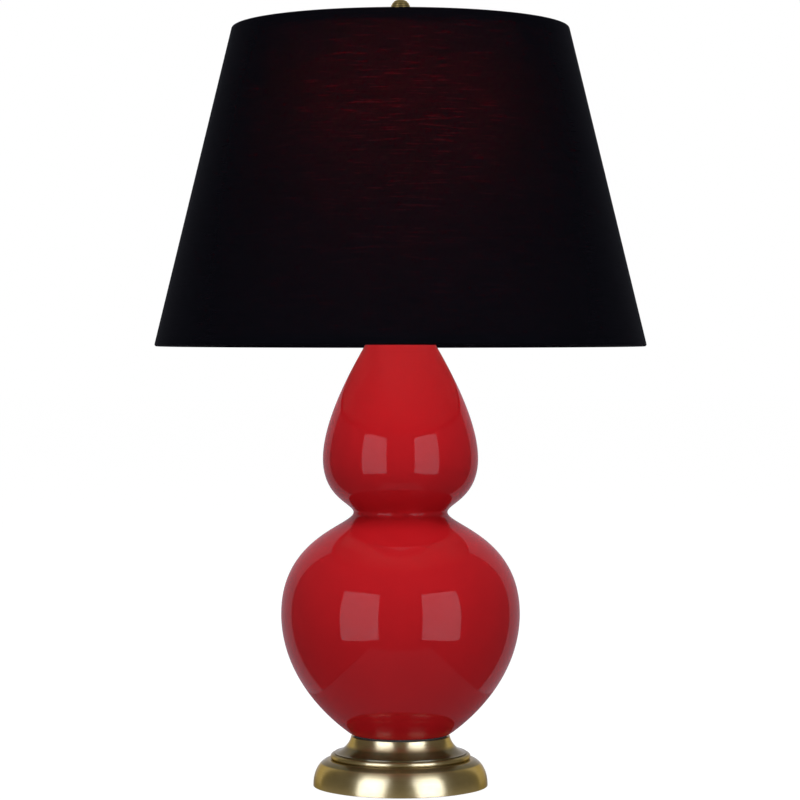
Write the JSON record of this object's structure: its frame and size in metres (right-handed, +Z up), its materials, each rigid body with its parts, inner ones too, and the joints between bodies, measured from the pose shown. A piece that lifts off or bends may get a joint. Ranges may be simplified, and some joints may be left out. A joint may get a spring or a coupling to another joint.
{
  "type": "double gourd table lamp",
  "caption": "Table lamp with a glazed double gourd body on a stepped brass base, a harp and a tapered fabric shade under a ball finial.",
  "frame": {"origin": "centre of the felt's underside", "axes": "+Z up along the pipe, -Y to the front with the switch knob, +X to the right seen from the front"},
  "size_m": [0.4854, 0.4852, 0.7783],
  "materials": {
    "felt": "dense black felt",
    "board": "pressed fibreboard",
    "iron": "as cast, black paint",
    "antique_brass": "satin antique brass, finely brushed round the axis",
    "black_plastic": "satin moulded",
    "zinc_steel": "bright zinc plate",
    "gasket_rubber": "matt",
    "red_glaze": "glossy clear-coated red glaze",
    "contact_brass": "plain rolled brass",
    "bulb_aluminium": "satin",
    "black_glass": "black insulator glass",
    "frosted_glass": "frosted white, lit",
    "black_fabric": "black slubby woven fabric, a little light passes",
    "white_liner": "white translucent styrene backing",
    "white_wire": "white coated steel wire"
  },
  "bodies": {
    "root": {"felt_pad": "felt", "base_board": "board", "base_weight": "iron", "base_shell": "antique_brass", "cord_bushing": "black_plastic", "bottom_nut": "zinc_steel", "lock_washer": "zinc_steel", "threaded_pipe": "zinc_steel", "foot_gasket": "gasket_rubber", "gourd_body": "red_glaze", "neck_gasket": "gasket_rubber", "vase_cap": "antique_brass", "neck_tube": "antique_brass", "top_nut": "antique_brass", "harp_saddle": "antique_brass", "socket_cap": "antique_brass", "set_screw": "zinc_steel", "socket_shell": "antique_brass", "socket_liner": "board", "socket_body": "black_plastic", "terminal_screws": "contact_brass", "screw_shell": "contact_brass", "centre_contact": "contact_brass"},
    "harp": {"harp_bow": "antique_brass", "harp_seat": "antique_brass"},
    "left_sleeve": {"sleeve_left": "antique_brass"},
    "right_sleeve": {"sleeve_right": "antique_brass"},
    "switch": {"switch_shaft": "contact_brass", "switch_knob": "black_plastic"},
    "bulb": {"bulb_cap": "bulb_aluminium", "bulb_contact": "black_glass", "bulb_glass": "frosted_glass"},
    "shade": {"shade_fabric": "black_fabric", "shade_liner": "white_liner", "shade_bottom_ring": "white_wire", "shade_top_ring": "white_wire", "spider_hub": "antique_brass", "spider_arms": "antique_brass"},
    "finial": {"finial": "antique_brass"}
  },
  "joints": [
    {"name": "harp_lift", "type": "slide", "parent": "root", "child": "harp", "axis": [0, 0, 1], "range_m": [0, 0.03]},
    {"name": "left_sleeve_slide", "type": "slide", "parent": "harp", "child": "left_sleeve", "axis": [0, 0, 1], "range_m": [0, 0.0105]},
    {"name": "right_sleeve_slide", "type": "slide", "parent": "harp", "child": "right_sleeve", "axis": [0, 0, 1], "range_m": [0, 0.0105]},
    {"name": "switch_turn", "type": "hinge", "parent": "root", "child": "switch", "pos_m": [0, -0.02, 0.5438], "axis": [0, -1, 0], "continuous": true},
    {"name": "bulb_out", "type": "slide", "parent": "root", "child": "bulb", "axis": [0, 0, 1], "range_m": [0, 0.03]},
    {"name": "shade_turn", "type": "hinge", "parent": "harp", "child": "shade", "pos_m": [0, 0, 0.7367], "axis": [0, 0, 1], "continuous": true},
    {"name": "finial_off", "type": "slide", "parent": "harp", "child": "finial", "axis": [0, 0, 1], "range_m": [0, 0.014]}
  ]
}
